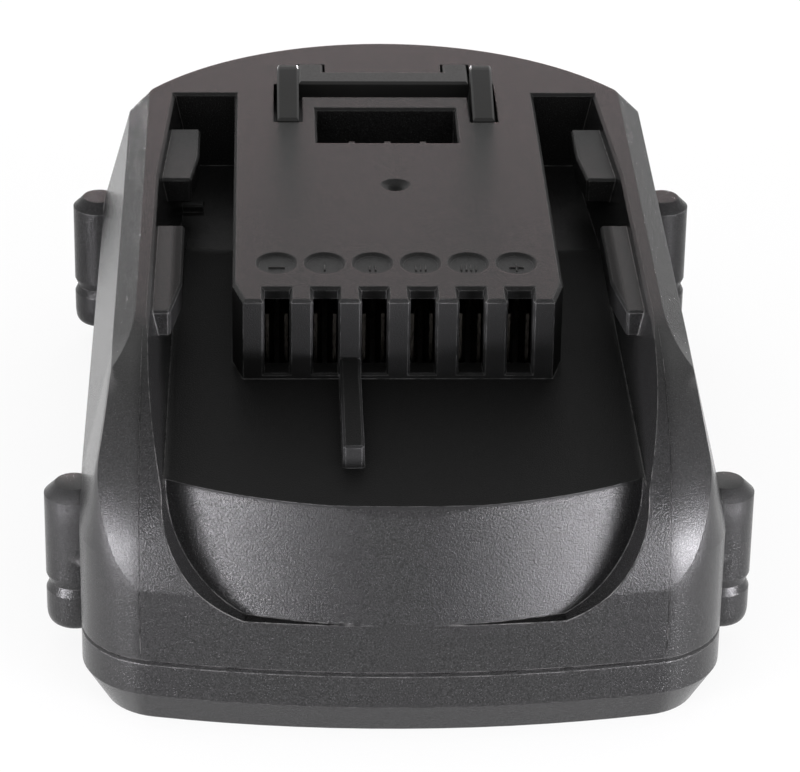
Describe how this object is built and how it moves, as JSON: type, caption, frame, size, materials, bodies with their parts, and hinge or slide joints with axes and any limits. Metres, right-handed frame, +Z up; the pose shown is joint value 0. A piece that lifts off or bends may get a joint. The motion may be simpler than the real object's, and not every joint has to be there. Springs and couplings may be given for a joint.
{
  "type": "power tool battery pack",
  "caption": "Slide-on cordless tool battery pack: split shell with rail channels, terminal block, sprung latch hooks and a rear release button.",
  "frame": {"origin": "centre of the flat base", "axes": "+Y along the pack from the end that meets the tool to the release button, +Z up through the deck, +X across to the right when seen from the tool's end"},
  "size_m": [0.085, 0.125, 0.0429],
  "materials": {
    "housing": "near-black moulded nylon with a fine spark-eroded grain",
    "latch_plastic": "near-black acetal, smoother than the housing",
    "button_plastic": "near-black moulded plastic with a fine grain",
    "inner_plastic": "dark grey moulded plastic",
    "carrier_plastic": "black moulded plastic",
    "screw_steel": "zinc-plated steel",
    "spring_steel": "drawn spring wire",
    "nickel": "nickel strip",
    "contact_metal": "tinned copper alloy leaf",
    "cell_wrap": "shrink film over a steel can",
    "insulation": "pressed insulating sheet",
    "board": "glass-fibre board under solder mask",
    "chip_plastic": "black moulded package",
    "fuse_ceramic": "white ceramic",
    "sensor_bead": "dipped bead",
    "foam": "closed-cell foam"
  },
  "bodies": {
    "pack": {"upper_housing": "housing", "lower_housing": "housing", "housing_screws": "screw_steel", "retainer_screws": "screw_steel", "board_screws": "screw_steel", "latch_retainer": "inner_plastic", "latch_spring_left": "spring_steel", "latch_spring_right": "spring_steel", "cell_frame_left": "inner_plastic", "cell_frame_right": "inner_plastic", "link_strip_left_a": "nickel", "link_strip_left_b": "nickel", "link_strip_right_a": "nickel", "link_strip_right_b": "nickel", "positive_strip": "nickel", "negative_strip": "nickel", "insulating_sheet_left": "insulation", "insulating_sheet_right": "insulation", "circuit_board": "board", "terminal_carrier": "carrier_plastic", "controller_chip": "chip_plastic", "power_transistors": "chip_plastic", "fuse": "fuse_ceramic", "temperature_sensor": "sensor_bead", "foam_pad": "foam", "cell_1": "cell_wrap", "cell_2": "cell_wrap", "cell_3": "cell_wrap", "cell_4": "cell_wrap", "cell_5": "cell_wrap", "terminal_1": "contact_metal", "terminal_2": "contact_metal", "terminal_3": "contact_metal", "terminal_4": "contact_metal", "terminal_5": "contact_metal", "terminal_6": "contact_metal"},
    "latch": {"latch": "latch_plastic"},
    "release_button": {"release_button": "button_plastic"}
  },
  "joints": [
    {"name": "button_press", "type": "slide", "parent": "pack", "child": "release_button", "axis": [0, -1, 0], "range_m": [0, 0.0035], "stiffness_N_per_m": 150, "springref_m": -0.004},
    {"name": "latch_drop", "type": "slide", "parent": "pack", "child": "latch", "axis": [0, 0, -1], "range_m": [0, 0.0035], "stiffness_N_per_m": 600, "springref_m": -0.004, "deforming": ["latch_spring_left", "latch_spring_right"]}
  ],
  "couplings": [
    {"joint": "latch_drop", "follows": "button_press", "ratio": 1}
  ]
}
